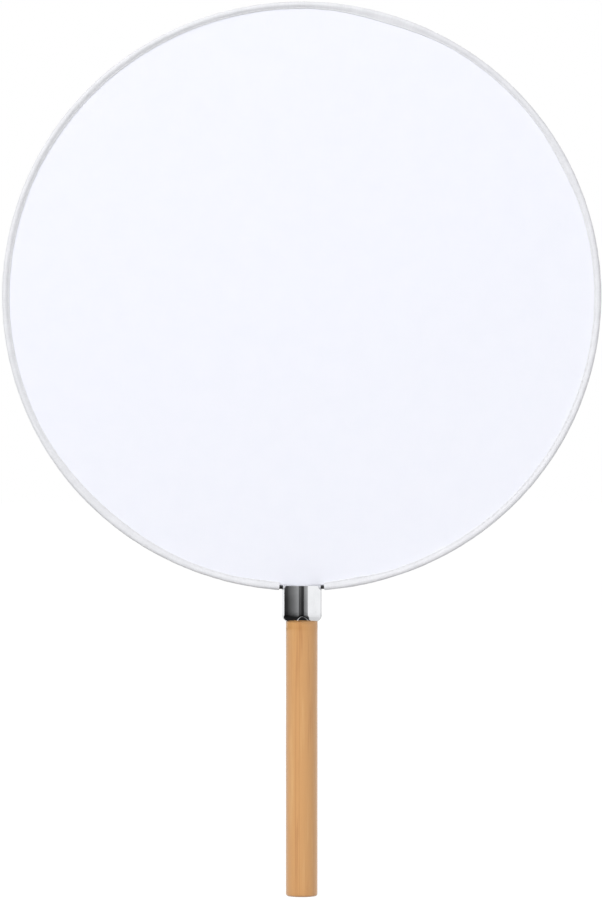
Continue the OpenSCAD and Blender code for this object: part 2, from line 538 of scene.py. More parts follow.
@dataclass(frozen=True)
class Weave(Finish):
    """Fine woven polyester. The piece's UV map is its flat cloth, in metres."""

    name: str = "panel_cloth"
    colour: Colour = (0.895, 0.905, 0.975)
    shade: Colour = (0.880, 0.893, 0.968)
    tone_edge: Pair = (0.35, 0.65)
    pitch: float = 0.24 * MM
    yarn_depth: float = 0.03 * MM
    slub: float = 9 * MM
    slub_share: float = 0.6
    slub_relief: float = 0.3
    # How much darker the colour is where the weave dips: painted shade in the hollows between yarns
    hollow_shade: float = 0.03
    crease: Triple = (2.4 * MM, 6.857 * MM, 1.0)
    crease_turn: float = 24.0
    crease_depth: float = 0.0
    roughness: Pair = (0.82, 0.94)

    def fill(self, recipe: Recipe) -> None:
        """Adds crossing yarns, slubs along them, faint painted shade where the weave dips, and any
        creases.

        Args:
            recipe: The material's recipe.
        """
        flat = recipe.own_uv()
        u, v, _ = recipe.split(flat)
        turn = math.tau / self.pitch
        crossing = (u * turn).sine() * (v * turn).sine() * 0.5 + 0.5
        warp = recipe.noise(flat, (self.pitch, self.slub, 1.0))
        weft = recipe.noise(flat, (self.slub, self.pitch, 1.0))
        slubs = warp * 0.5 + weft * 0.5
        patches = recipe.noise(flat, (self.slub, self.slub, 1.0), detail=3.0)
        tone = slubs * self.slub_share + patches * (1 - self.slub_share)
        ground = recipe.blend(tone.step(*self.tone_edge), self.shade, self.colour)
        under = None
        if self.crease_depth:
            creases = recipe.noise(flat, self.crease, detail=3.0, turn=self.crease_turn)
            under = recipe.bump(creases, self.crease_depth)
        height = crossing * (1 - self.slub_relief) + slubs * self.slub_relief
        recipe.surface(
            {
                # Painted shade: the colour is darker where the yarns' crossing pattern dips
                "Base Color": recipe.tinted(ground, crossing.between(1.0 - self.hollow_shade, 1.0)),
                "Roughness": crossing.between(*self.roughness),
                "Specular IOR Level": 0.25,
                "Sheen Weight": 0.12,
                "Sheen Roughness": 0.5,
                "Normal": recipe.bump(height, self.yarn_depth, under),
            }
        )


@dataclass(frozen=True)
class TwistedThread(Finish):
    """Two-ply sewing thread. The piece's UV map runs round and along each stitch."""

    name: str = "sewing_thread"
    colour: Colour = (0.88, 0.885, 0.90)
    # Painted shade: the colour in the grooves between the plies
    shade: Colour = (0.74, 0.745, 0.76)
    plies: float = 2.0
    turns: float = 7.0
    ply_depth: float = 0.03 * MM
    fibre: float = MM / 22
    fibre_share: float = 0.3
    roughness: Pair = (0.55, 0.75)

    def fill(self, recipe: Recipe) -> None:
        """Adds plies that wind round the thread, with painted shade in the grooves between them, and
        stray fibres.

        Args:
            recipe: The material's recipe.
        """
        u, v, _ = recipe.split(recipe.own_uv())
        plies_and_groove_shade = ((u * self.plies + v * self.turns) * math.tau).wave()
        fibres = recipe.noise(recipe.places(), self.fibre)
        tone = plies_and_groove_shade * (1 - self.fibre_share) + fibres * self.fibre_share
        recipe.surface(
            {
                # Painted shade: the grooves between the plies are darker
                "Base Color": recipe.blend(tone, self.shade, self.colour),
                "Roughness": fibres.between(*self.roughness),
                "Sheen Weight": 0.2,
                "Normal": recipe.bump(plies_and_groove_shade, self.ply_depth),
            }
        )


@dataclass(frozen=True)
class Paper(Finish):
    """A plain pale studio surface that reads white to the lens and keeps a soft shadow."""

    name: str = "floor_paper"
    colour: Colour = (0.50, 0.50, 0.50)
    shade: Pair = (0.99, 1.01)
    grain: float = MM / 0.06
    glow_share: float = 0.8
    glow: float = 1.22

    def fill(self, recipe: Recipe) -> None:
        """Adds a matt surface, with its own light for rays that show it directly.

        Args:
            recipe: The material's recipe.
        """
        grain = recipe.noise(recipe.places(), self.grain, detail=3.0)
        colour = recipe.tinted(self.colour, grain.between(*self.shade))
        matt = recipe.node("BsdfDiffuse", {}, {"Color": colour})
        light = recipe.node("Emission", {}, {"Color": (*WHITE, 1.0), "Strength": self.glow})
        share = recipe.seen_directly() * self.glow_share
        recipe.output(recipe.node("MixShader", {}, {0: share, 1: matt, 2: light}))


@dataclass(frozen=True)
class PaintedReflectionBands(Finish):
    """Painted reflections for the cup: a tray's glow, in bands by direction from the rod.

    A level goes with an angle in degrees from straight in front, growing to the right.
    """

    name: str = "painted_reflection_tray"
    bottom: float = 0.0
    levels: tuple[Pair, ...] = (
        (-180, 1.0), (-119, 1.0), (-118.5, 0.022), (-89, 0.030), (-88.5, 0.035), (-46, 0.160),
        (-17, 0.310), (-16.5, 0.080), (-4, 0.065), (-3.5, 0.035), (11.5, 0.012), (12, 0.180),
        (34.5, 0.420), (35, 1.0), (134, 1.0), (134.5, 0.860), (164, 0.660), (164.5, 1.0),
        (180, 1.0),
    )
    # Painted shade of the rod on the tray's bottom near it: its height, darkness, contrast and
    # dimming
    bottom_edge: Pair = (1 * MM, 3 * MM)
    bottom_dark: Pair = (0.4, 1.0)
    bottom_contrast: float = 2.0
    bottom_dimming: float = 0.28
    upper_edge: Pair = (7 * MM, 13 * MM)
    upper_contrast: float = 0.15
    near_edge: Pair = (8 * MM, 34 * MM)
    # Painted shadow of the rod beside it: its edge and its level
    shade_side: Pair = (4.9 * MM, 5.5 * MM)
    shade_level: float = 0.012
    bright: Pair = (0.7, 0.95)
    # Painted highlight: a bright ring on the tray's bottom
    ring_middle: Pair = (0.6 * MM, -9 * MM)
    ring_half: Pair = (3.2 * MM, 14.5 * MM)
    ring_edge: Pair = (0.05, 0.16)
    ring_level: float = 0.60
    ring_fade: float = 0.3
    ring_fade_edge: Pair = (0.0, 2 * MM)
    least: float = 0.004

    def fill(self, recipe: Recipe) -> None:
        """Adds the bands of painted reflection, painted shade of the rod on the tray's bottom near
        it, and one painted highlight ring.

        Args:
            recipe: The material's recipe.
        """
        x, y, z = recipe.split(recipe.places())
        stops = [(0.5 + turn / 360, (level,) * 3) for turn, level in self.levels]
        around = x.turn_from(-y) / math.tau + 0.5
        level = recipe.node("ValToRGB", {"stops": stops}, {"Fac": around})
        height = z - self.bottom
        near = 1.0 - x.reach(y).step(*self.near_edge)
        on_bottom = 1.0 - height.step(*self.bottom_edge)
        # Painted shade of the rod: darker on the tray's bottom near the rod
        painted_rod_shade = near.between(*self.bottom_dark) * on_bottom
        upper = height.step(*self.upper_edge) * self.upper_contrast
        bands = level ** (painted_rod_shade * self.bottom_contrast + 1.0 - upper)
        bands = bands * (1.0 - painted_rod_shade * self.bottom_dimming)
        # Painted highlight: one bright ring on the tray's bottom
        across = (x - self.ring_middle[0]) / self.ring_half[0]
        along = (y - self.ring_middle[1]) / self.ring_half[1]
        ring = 1.0 - (across.reach(along) - 1.0).size().step(*self.ring_edge)
        fade = self.ring_level - x.step(*self.ring_fade_edge) * self.ring_fade
        # Painted shadow of the rod: a dark patch beside it, except where a bright band opens on the
        # left
        open_left = level.step(*self.bright) * (1.0 - x.step(-MM, MM))
        painted_rod_shadow = near * (1.0 - x.step(*self.shade_side)) * (1.0 - open_left)
        shine = bands * (1.0 - painted_rod_shadow) + painted_rod_shadow * self.shade_level + ring * on_bottom * fade + self.least
        recipe.output(recipe.node("Emission", {}, {"Color": shine, "Strength": 1.0}))


def choose(*pieces: bpy.types.Object) -> None:
    """Goes to object mode with these pieces alone selected and the first one active.

    Args:
        *pieces: The pieces. With none, everything is deselected.
    """
    if bpy.context.mode != "OBJECT":
        bpy.ops.object.mode_set(mode="OBJECT")
    bpy.ops.object.select_all(action="DESELECT")
    for piece in pieces:
        piece.select_set(True)
    if pieces:
        bpy.context.view_layer.objects.active = pieces[0]


class Bench:
    """Edit-mode steps on one piece, as by hand."""

    def __init__(self, piece: bpy.types.Object) -> None:
        """Takes a piece that is in the scene."""
        self.piece = piece

    @classmethod
    def start(cls, name: str, primitive: Callable[..., Any], **sizes: Any) -> "Bench":
        """Adds a primitive with nothing else selected.

        Args:
            name: The piece's name.
            primitive: The operator that adds the primitive.
            **sizes: The primitive's sizes and place.

        Returns:
            The bench with the primitive on it.
        """
        choose()
        primitive(**sizes)
        piece = bpy.context.active_object
        piece.name = piece.data.name = name
        bpy.ops.object.transform_apply(location=True, rotation=True, scale=True)
        return cls(piece)

    def pick(self, element: Element, test: Callable[[Vector, Vector], bool]) -> None:
        """Selects what passes a test, and leaves the piece in edit mode.

        Args:
            element: What to select.
            test: Takes an element's middle and its normal. An edge's normal is its direction.
        """
        self.edit()
        bpy.ops.mesh.select_mode(type=element.value)
        bpy.ops.mesh.select_all(action="DESELECT")
        mesh = bmesh.from_edit_mesh(self.piece.data)
        if element is Element.VERTEX:
            found = [each for each in mesh.verts if test(each.co, each.normal)]
        elif element is Element.FACE:
            found = [each for each in mesh.faces if test(each.calc_center_median(), each.normal)]
        else:
            found = []
            for edge in mesh.edges:
                first, last = (vertex.co for vertex in edge.verts)
                if test((first + last) / 2, (last - first).normalized()):
                    found.append(edge)
        for each in found:
            each.select_set(True)
        bmesh.update_edit_mesh(self.piece.data)

    def pick_all(self) -> None:
        """Selects the whole mesh in edit mode."""
        self.edit()
        bpy.ops.mesh.select_all(action="SELECT")

    def edit(self) -> None:
        """Goes to edit mode on this piece alone."""
        if bpy.context.mode != "EDIT_MESH":
            choose(self.piece)
            bpy.ops.object.mode_set(mode="EDIT")

    def done(self) -> bpy.types.Object:
        """Goes back to object mode and returns the piece."""
        choose(self.piece)
        return self.piece

    def merge(self) -> None:
        """Merges points that lie in the same place."""
        self.pick_all()
        bpy.ops.mesh.remove_doubles(threshold=SAME_PLACE)

    def face_outwards(self) -> None:
        """Turns every face outwards."""
        self.pick_all()
        bpy.ops.mesh.normals_make_consistent(inside=False)

    def cut_across(self, place: Vector, normal: Vector) -> None:
        """Cuts the mesh with a plane, and keeps both halves joined."""
        self.pick_all()
        bpy.ops.mesh.bisect(plane_co=place, plane_no=normal, threshold=SAME_PLACE)

    def turn(self, profile: Sequence[Pair], closed: bool) -> None:
        """Extrudes the piece's ring of edges along a turned profile about Z.

        Args:
            profile: Radius and height of each ring. The first is the ring that is there.
            closed: True if the last ring meets the first, False if both ends are filled.
        """
        self.edit()
        bpy.ops.mesh.select_mode(type=Element.EDGE.value)
        self.pick_all()
        for (radius, height), (next_radius, next_height) in zip(profile, profile[1:]):
            bpy.ops.mesh.extrude_region_move(
                TRANSFORM_OT_translate={"value": (0.0, 0.0, next_height - height)}
            )
            share = next_radius / radius
            bpy.ops.transform.resize(value=(share, share, 1.0), center_override=(0.0, 0.0, 0.0))
        if closed:
            self.merge()
        else:
            self.pick_all()
            bpy.ops.mesh.fill_holes(sides=0)
        self.face_outwards()

    def modify(self, kind: str, **settings: Any) -> None:
        """Adds a modifier and applies it.

        Args:
            kind: The modifier's type.
            **settings: Its properties.
        """
        self.done()
        modifier = self.piece.modifiers.new(kind.lower(), kind)
        for name, value in settings.items():
            setattr(modifier, name, value)
        bpy.ops.object.modifier_apply(modifier=modifier.name)

    def smooth(self, degrees: float) -> None:
        """Shades the piece smooth, but for edges that turn more than an angle."""
        self.done()
        bpy.ops.object.shade_smooth_by_angle(angle=math.radians(degrees))


def turned_piece(name: str, profile: Sequence[Pair], sides: int, closed: bool) -> Bench:
    """Turns a profile about Z.

    Args:
        name: The piece's name.
        profile: Radius and height of each ring.
        sides: How many flats each ring has.
        closed: True if the last ring meets the first, False if both ends are filled.

    Returns:
        The bench with the turned piece, in edit mode.
    """
    radius, height = profile[0]
    bench = Bench.start(
        name,
        bpy.ops.mesh.primitive_circle_add,
        vertices=sides,
        radius=radius,
        location=(0.0, 0.0, height),
    )
    bench.turn(profile, closed)
    return bench


def arc(middle: Pair, radius: float, first: float, last: float, steps: int) -> list[Pair]:
    """Rings on an arc of a turned profile.

    Args:
        middle: Radius and height of the arc's middle.
        radius: The arc's radius.
        first: Its first angle in degrees, from outwards towards up.
        last: Its last angle.
        steps: The number of steps.

    Returns:
        Radius and height of each ring.
    """
    rings = []
    for step in range(steps + 1):
        angle = math.radians(first + (last - first) * step / steps)
        rings.append((middle[0] + radius * math.cos(angle), middle[1] + radius * math.sin(angle)))
    return rings


def remove(thing: bpy.types.Object) -> None:
    """Removes an object and its mesh.

    Args:
        thing: The object.
    """
    mesh = thing.data
    bpy.data.objects.remove(thing)
    bpy.data.meshes.remove(mesh)


def ring_faces(rows: int, size: int) -> list[list[int]]:
    """Faces between rows of points, where each row is a closed ring.

    Args:
        rows: How many rows there are.
        size: How many points a row has.

    Returns:
        The faces as point numbers, row after row.
    """
    faces = []
    for near in range(0, (rows - 1) * size, size):
        far = near + size
        for step in range(size):
            after = (step + 1) % size
            faces.append([near + step, near + after, far + after, far + step])
    return faces


def cloth_piece(
    name: str, points: Sequence[Vector], faces: Sequence[Sequence[int]], flat: Sequence[Pair]
) -> Bench:
    """Makes a piece of cloth from points and faces.

    Args:
        name: The piece's name.
        points: Its vertices in the row frame.
        faces: Its faces as vertex numbers.
        flat: Each vertex's place on the flat cloth, in metres.

    Returns:
        The bench with the piece, shaded smooth.
    """
    mesh = bpy.data.meshes.new(name)
    mesh.from_pydata([tuple(point) for point in points], [], faces)
    layer = mesh.uv_layers.new(name="flat_cloth")
    for loop in mesh.loops:
        layer.data[loop.index].uv = flat[loop.vertex_index]
    mesh.validate()
    piece = bpy.data.objects.new(name, mesh)
    bpy.context.scene.collection.objects.link(piece)
    bench = Bench(piece)
    bench.face_outwards()
    bench.smooth(degrees=50)
    return bench


def put_on(piece: bpy.types.Object, material: bpy.types.Material, node: str) -> None:
    """Gives a piece its finish and its body, and hides the CAD node that it replaces.

    Args:
        piece: The piece.
        material: Its finish.
        node: The CAD node that it replaces.
    """
    piece.data.materials.append(material)
    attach(piece, BODY)
    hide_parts(node)


def fold(value: float) -> float:
    """A smooth bump: 1 at 0, falling to 0 at 1 and beyond."""
    return (1 - value * value) ** 2 if abs(value) < 1 else 0.0


@dataclass(frozen=True)
class Wobble:
    """Smooth noise round the hoop: its period and size, where it is read and how it twists."""

    period: float
    size: float = 1.0
    seed: Triple = (0.0, 0.0, 0.0)
    twist: float = 0.0


@dataclass(frozen=True)
class HoopOutline:
    """The wire's centre line: an oval of four arcs that meet on 60 degree lines."""

    half_width: float
    half_height: float
    centre_z: float

    @property
    def side_shift(self) -> float:
        """Distance of each side arc's centre from the disc's centre."""
        return (self.half_width - self.half_height) / (math.sqrt(3) - 1)

    @property
    def side_radius(self) -> float:
        """Radius of the side arcs."""
        return self.half_width - self.side_shift

    @property
    def flat_radius(self) -> float:
        """Radius of the top and bottom arcs."""
        return self.side_radius + 2 * self.side_shift

    @property
    def length(self) -> float:
        """Length all round."""
        return math.tau / 3 * (2 * self.side_radius + self.flat_radius)

    def outward(self, angle: float) -> Vector:
        """Unit vector out of the disc, at an angle from +X towards +Z."""
        return Vector((math.cos(angle), 0.0, math.sin(angle)))

    def forward(self, angle: float) -> Vector:
        """Unit vector along the wire, in the direction of growing angle."""
        return Vector((-math.sin(angle), 0.0, math.cos(angle)))

    def point(self, angle: float, out: float = 0.0) -> Vector:
        """A point on the outline, or that far outside it.

        Args:
            angle: Direction of the outline's normal, in radians from +X towards +Z.
            out: Distance outwards.

        Returns:
            The point in the row frame, at y = 0.
        """
        side, rise = math.cos(angle), math.sin(angle)
        flat = abs(rise) > math.sin(math.pi / 3)
        radius = (self.flat_radius if flat else self.side_radius) + out
        x = 0.0 if flat else math.copysign(self.side_shift, side)
        z = -math.copysign(math.sqrt(3) * self.side_shift, rise) if flat else 0.0
        return Vector((x, 0.0, self.centre_z + z)) + self.outward(angle) * radius

    def wobble(self, kind: Wobble, angle: float, turn: float = 0.0) -> float:
        """Reads a wobble at a place round the hoop.

        Args:
            kind: The wobble.
            angle: Direction of the outline's normal there.
            turn: Place across the hoop, which the wobble's twist multiplies.

        Returns:
            The noise, about 0, times the wobble's size.
        """
        around = Vector((math.cos(angle), math.sin(angle), 0.0)) * (self.side_radius / kind.period)
        seed = Vector(kind.seed) + Vector((0.0, 0.0, kind.twist * turn))
        return noise.noise(around + seed) * kind.size


@dataclass(frozen=True)
class Measures:
    """Sizes that every sub-assembly shares, read from the frame."""

    rod_radius: float
    rod_top: float
    cup_radius: float
    cup_rim: float
    wire_radius: float
    roll_radius: float
    tongue_low: float
    cloth_half: float
    outline: HoopOutline

    @classmethod
    def from_frame(cls, disc_height: float) -> "Measures":
        """Reads the sizes from the CAD nodes' boxes.

        Args:
            disc_height: Height of the disc over its binding.

        Returns:
            The measures, in metres.
        """
        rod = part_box("handle")[1]
        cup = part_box("ferrule")[1]
        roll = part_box("edge_binding")[1]
        cloth_low, cloth_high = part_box("fabric_panel")
        outline = HoopOutline(
            half_width=roll.x - roll.y,
            half_height=disc_height / 2 - roll.y,
            centre_z=roll.z - disc_height / 2,
        )
        return cls(
            rod_radius=rod.x,
            rod_top=rod.z,
            cup_radius=cup.x,
            cup_rim=cup.z,
            wire_radius=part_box("hoop_wire")[1].y,
            roll_radius=roll.y,
            tongue_low=cloth_low.z,
            cloth_half=cloth_high.y,
            outline=outline,
        )


@dataclass
class Panel:
    """The taut cloth, pulled over the hoop and tucked into the cup's mouth."""

    measures: Measures
    spokes: int = 480
    edge_inset: float = 0.8 * MM
    grip: float = 1.2 * MM
    grip_fade: float = 2 * MM
    gather: Wobble = Wobble(6.5 * MM)
    fine_gather: Wobble = Wobble(6.5 / 2.3 * MM, 0.5, (7.0, 3.0, 1.0))
    pucker: float = 0.06 * MM
    pucker_reach: float = 12 * MM
    slack: float = 0.12 * MM
    slack_waves: float = 14.0
    slack_seed: Triple = (2.0, 5.0, 9.0)
    tuck_height: float = 1.0 * MM
    tuck_width: float = 8.4 * MM
    tuck_reach: float = 8 * MM
    tongue_width: float = 7 * MM

    # How far in from the cloth's edge each ring lies at the disc's sides, in millimetres
    rings: tuple[float, ...] = (
        0.0, 0.6, 1.2, 1.8, 2.4, 3.1, 3.9, 4.8, 5.9, 7.2, 8.8, 10.8, 13.5, 17.0, 21.5, 27.0,
        34.0, 43.0, 54.0, 68.0, 84.0, 100.0, 113.0,
    )

    def rise(self, angle: float, depth: float, place: Vector) -> float:
        """How far the cloth stands out of its plane, towards the front.

        Args:
            angle: Direction on the outline.
            depth: Distance in from the cloth's edge.
            place: The point on the flat cloth.

        Returns:
            The height in metres, negative towards the back.
        """
        outline = self.measures.outline
        held = max(0.0, min(1.0, (depth - self.grip) / self.grip_fade))
        fade = math.exp(-((depth / self.pucker_reach) ** 2))
        gather = outline.wobble(self.gather, angle) + outline.wobble(self.fine_gather, angle)
        broad = noise.noise(place * self.slack_waves + Vector(self.slack_seed)) * self.slack
        over_rim = max(0.0, place.z - self.measures.cup_rim)
        near_rim = max(0.0, 1 - over_rim / self.tuck_reach) ** 2
        tuck = fold(place.x / self.tuck_width) * near_rim
        return held * (gather * fade * self.pucker + broad) + tuck * self.tuck_height

    def build(self) -> bpy.types.Object:
        """Makes one sheet of rings from the edge in, with its tongue, and gives it a thickness.

        Returns:
            The cloth.
        """
        outline = self.measures.outline
        middle = Vector((0.0, 0.0, outline.centre_z))
        points: list[Vector] = []
        angles = [math.tau * (step + 0.5) / self.spokes for step in range(self.spokes)]
        for ring in self.rings:
            for angle in angles:
                edge = outline.point(angle, -self.edge_inset)
                share = 1 - ring * MM / outline.side_radius
                place = middle + (edge - middle) * share
                place.y = -self.rise(angle, ring * MM, place)
                points.append(place)
        faces = ring_faces(len(self.rings), self.spokes)
        last = len(points) - self.spokes
        points.append(middle + Vector((0.0, -self.rise(0.0, outline.side_radius, middle), 0.0)))
        for step in range(self.spokes):
            faces.append([last + step, last + (step + 1) % self.spokes, len(points) - 1])
        self._add_tongue(points, faces)
        bench = cloth_piece("panel_cloth", points, faces, [(point.x, point.z) for point in points])
        bench.modify("SOLIDIFY", thickness=2 * self.measures.cloth_half, offset=0.0)
        return bench.piece

    def dress(self, piece: bpy.types.Object) -> None:
        """Gives the cloth its weave and its body, and hides the CAD node that it replaces."""
        put_on(piece, Weave().material(), "fabric_panel")

    def _add_tongue(self, points: list[Vector], faces: list[list[int]]) -> None:
        """Runs the cloth's lowest edge down into the cup's mouth.

        Args:
            points: The cloth's vertices, to which the tongue's are added.
            faces: The cloth's faces, to which the tongue's are added.
        """
        half, centre_z = self.tongue_width / 2, self.measures.outline.centre_z
        edge = range(self.spokes)
        rows = [[step for step in edge if points[step].z < centre_z and abs(points[step].x) < half]]
        for share in (0.5, 1.0):
            rows.append(list(range(len(points), len(points) + len(rows[0]))))
            for step in rows[0]:
                top = points[step]
                low = top.z + (self.measures.tongue_low - top.z) * share
                points.append(Vector((top.x, 0.0, low)))
        for above, below in zip(rows, rows[1:]):
            for i in range(len(above) - 1):
                faces.append([above[i], below[i], below[i + 1], above[i + 1]])

    def declare(self, piece: bpy.types.Object) -> None:
        """Works out how large the cloth was cut, an oval with a tongue, and keeps none of it.

        Args:
            piece: The cloth. Not used.
        """
        outline = self.measures.outline
        half_width = outline.half_width - self.edge_inset
        half_height = outline.half_height - self.edge_inset
        tongue = outline.centre_z - half_height - self.measures.tongue_low
        area = math.pi * half_width * half_height + self.tongue_width * tongue
        2 * half_width
        2 * half_height + tongue


@dataclass(frozen=True)
class LoosePlace:
    """A stretch of the hoop where the tape's lip lies wider on the cloth. Angles in degrees."""

    middle: float
    reach: float
    extra: float


@dataclass
class Binding:
    """The tape that is rolled round the wire, with its lips sewn down on the cloth."""

    measures: Measures
    bare_wire: float = 1 * MM
    lip_width: float = 0.6 * MM
    lip_height: float = 0.40 * MM
    lip_bevel: float = 0.4
    ragged: Wobble = Wobble(4 * MM, 0.10 * MM)
    drift: Wobble = Wobble(45 * MM, 0.22 * MM, (4.0, 4.0, 4.0))
    loose_places: tuple[LoosePlace, ...] = (
        LoosePlace(73, 13, 0.9 * MM),
        LoosePlace(228, 22, 0.8 * MM),
        LoosePlace(28, 9, 0.45 * MM),
        LoosePlace(263, 7, 0.5 * MM),
        LoosePlace(-80, 7, 0.5 * MM),
    )
    puff: float = 0.08 * MM
    puff_rest: float = 0.4
    slope_sag: float = 0.07 * MM
    slope_steps: int = 5
    slope_ripple: Wobble = Wobble(3.0 * MM, 1.6, (3.0, 7.0, 0.0), 2.5)
    crease_depth: float = 0.09 * MM
    crease_slant: float = 0.018
    creases: Wobble = Wobble(3.0 * MM, 0.9, twist=0.9)
    fine_creases: Wobble = Wobble(1.3 * MM, 0.45, (5.0, 1.0, 0.0), 1.7)
    dents: Wobble = Wobble(30 * MM, 0.5, (1.0, 8.0, 0.0), 0.6)
    mean_dent: float = 0.5
    roll_bore: float = 0.8 * MM
    tape_width: float = 10 * MM
    step_length: float = 0.75 * MM
    outer_steps: int = 20
    bore_steps: int = 9
    stitch_pitch: float = 2.6 * MM
    stitch_length: float = 2.15 * MM
    stitch_from_edge: float = 0.3 * MM
    stitch_lift: float = 0.06 * MM
    stitch_cuts: tuple[float, ...] = (-0.82, -0.5, 0.0, 0.5, 0.82)
    stitch_drops: tuple[Pair, ...] = ((0.99, 0.20 * MM), (0.81, 0.08 * MM), (0.49, 0.015 * MM))
    thread_radius: float = 0.11 * MM
    thread_sides: int = 6

    @property
    def first_angle(self) -> float:
        """Where the tape starts, to the right of the cup."""
        open_half = self.measures.cup_radius + self.bare_wire
        return -math.pi / 2 + math.asin(open_half / self.measures.outline.flat_radius)

    @property
    def last_angle(self) -> float:
        """Where the tape ends, to the left of the cup."""
        return math.pi - self.first_angle

    def lip_edge(self, angle: float) -> float:
        """Distance from the wire's centre line in to the lip's edge.

        Args:
            angle: Place along the hoop.

        Returns:
            The distance.
        """
        outline = self.measures.outline
        uneven = outline.wobble(self.ragged, angle) + max(0.0, outline.wobble(self.drift, angle))
        for place in self.loose_places:
            away = angle - math.radians(place.middle)
            uneven += place.extra * fold(away / math.radians(place.reach))
        return self.measures.roll_radius + self.lip_width + uneven

    def stitch_in(self, angle: float) -> float:
        """Distance from the wire's centre line in to the stitches."""
        return self.lip_edge(angle) - self.stitch_from_edge

    def lip_top(self, angle: float) -> float:
        """Height of the lip over the disc's middle plane, which puffs up between the stitches.

        Args:
            angle: Place along the hoop.

        Returns:
            The height.
        """
        along = self.measures.outline.side_radius * (angle - self.first_angle)
        puff = abs(math.sin(math.pi * along / self.stitch_pitch))
        return self.lip_height + self.puff * (puff - self.puff_rest)

    def roll(self, angle: float, turn: float) -> float:
        """Radius of the roll, with its creases.

        Args:
            angle: Place along the hoop.
            turn: Angle about the wire, from outwards towards the front.

        Returns:
            The radius.
        """
        outline = self.measures.outline
        slanted = angle + self.crease_slant * math.sin(turn)
        dent = self.mean_dent + outline.wobble(self.dents, angle, turn)
        dent += sum(outline.wobble(kind, slanted, turn) for kind in (self.creases, self.fine_creases))
        return self.measures.roll_radius - self.crease_depth * max(0.0, dent)

    def section(self, angle: float) -> list[Pair]:
        """The tape's closed section as pairs of outward distance and height to the front.

        Args:
            angle: Place along the hoop.

        Returns:
            Points from the front lip round the outside to the back lip, and back inside.
        """
        edge, top = self.lip_edge(angle), self.lip_top(angle)
        inner, radius = self.measures.cloth_half, self.measures.roll_radius
        foot = Vector((self.stitch_from_edge / 2 - self.stitch_in(angle), top))
        start = math.atan2(foot.y, foot.x) - math.acos(radius / foot.length)
        shoulder = Vector((math.cos(start), math.sin(start))) * radius
        bevel = inner + (top - inner) * self.lip_bevel
        front = [(-edge, bevel), (-edge + self.stitch_from_edge / 2, top)]
        for step in range(self.slope_steps):
            share = step / self.slope_steps
            ripple = 1 + self.measures.outline.wobble(self.slope_ripple, angle, share)
            sink = 4 * share * (1 - share) * self.slope_sag * ripple
            place = foot.lerp(shoulder, share)
            front.append((place.x - sink / 2, place.y - sink))
        outside = []
        for step in range(self.outer_steps + 1):
            turn = start * (1 - 2 * step / self.outer_steps)
            across = self.roll(angle, turn)
            outside.append((across * math.cos(turn), across * math.sin(turn)))
        back = [(out, -high) for out, high in reversed(front)]
        bore_start = math.pi - math.asin(inner / self.roll_bore)
        bore = []
        for step in range(self.bore_steps + 1):
            turn = -bore_start * (1 - 2 * step / self.bore_steps)
            bore.append((self.roll_bore * math.cos(turn), self.roll_bore * math.sin(turn)))
        return front + outside + back + [(-edge, -inner)] + bore + [(-edge, inner)]

    def build(self) -> bpy.types.Object:
        """Sweeps the tape's section round the hoop and closes both cut ends.

        Returns:
            The tape.
        """
        outline = self.measures.outline
        count = round(outline.length / self.step_length)
        points: list[Vector] = []
        flat: list[Pair] = []
        for step in range(count + 1):
            angle = self.first_angle + (self.last_angle - self.first_angle) * step / count
            profile = self.section(angle)
            across = 0.0
            for before, place in zip(profile[:1] + profile, profile):
                across += math.dist(before, place)
                points.append(outline.point(angle, place[0]) + Vector((0.0, -place[1], 0.0)))
                flat.append((outline.length * step / count, across))
        size = len(points) // (count + 1)
        ends = [list(range(size)), list(range(count * size, len(points)))]
        return cloth_piece("binding_tape", points, ring_faces(count + 1, size) + ends, flat).piece

    def one_stitch(self) -> bpy.types.Object:
        """Makes a stitch along X, arched towards +Z, with both ends turned down into the tape.

        Returns:
            The stitch.
        """
        half = self.stitch_length / 2
        bench = Bench.start(
            "stitch",
            bpy.ops.mesh.primitive_cylinder_add,
            vertices=self.thread_sides,
            radius=self.thread_radius,
            depth=self.stitch_length,
            rotation=(0.0, math.pi / 2, 0.0),
        )
        for share in self.stitch_cuts:
            bench.cut_across(Vector((share * half, 0, 0)), Vector((1, 0, 0)))
        for share, drop in self.stitch_drops:
            bench.pick(Element.VERTEX, lambda co, _: abs(co.x) > share * half)
            bpy.ops.transform.translate(value=(0.0, 0.0, -drop))
        return bench.done()

    def stitches(self, name: str, side: Side) -> bpy.types.Object:
        """The row of stitches on one face of the tape's lips, joined as one piece.

        Args:
            name: The piece's name.
            side: The disc's face that the row is on.

        Returns:
            The joined stitches.
        """
        pattern = self.one_stitch()
        outline = self.measures.outline
        pitch = self.stitch_pitch / outline.side_radius
        up = Vector((0.0, float(side.value), 0.0))
        copies = []
        for number in range(int((self.last_angle - self.first_angle) / pitch)):
            angle = self.first_angle + (number + 0.5) * pitch
            along = outline.forward(angle)
            lift = self.lip_top(angle) + self.stitch_lift
            place = outline.point(angle, -self.stitch_in(angle)) + up * lift
            turned = Matrix((along, up.cross(along), up)).transposed().to_4x4()
            copy = bpy.data.objects.new(name, pattern.data.copy())
            copy.data.transform(Matrix.Translation(place) @ turned)
            bpy.context.scene.collection.objects.link(copy)
            copies.append(copy)
        remove(pattern)
        choose(*copies)
        bpy.ops.object.join()
        row = copies[0]
        row.name = row.data.name = name
        Bench(row).smooth(degrees=60)
        return row

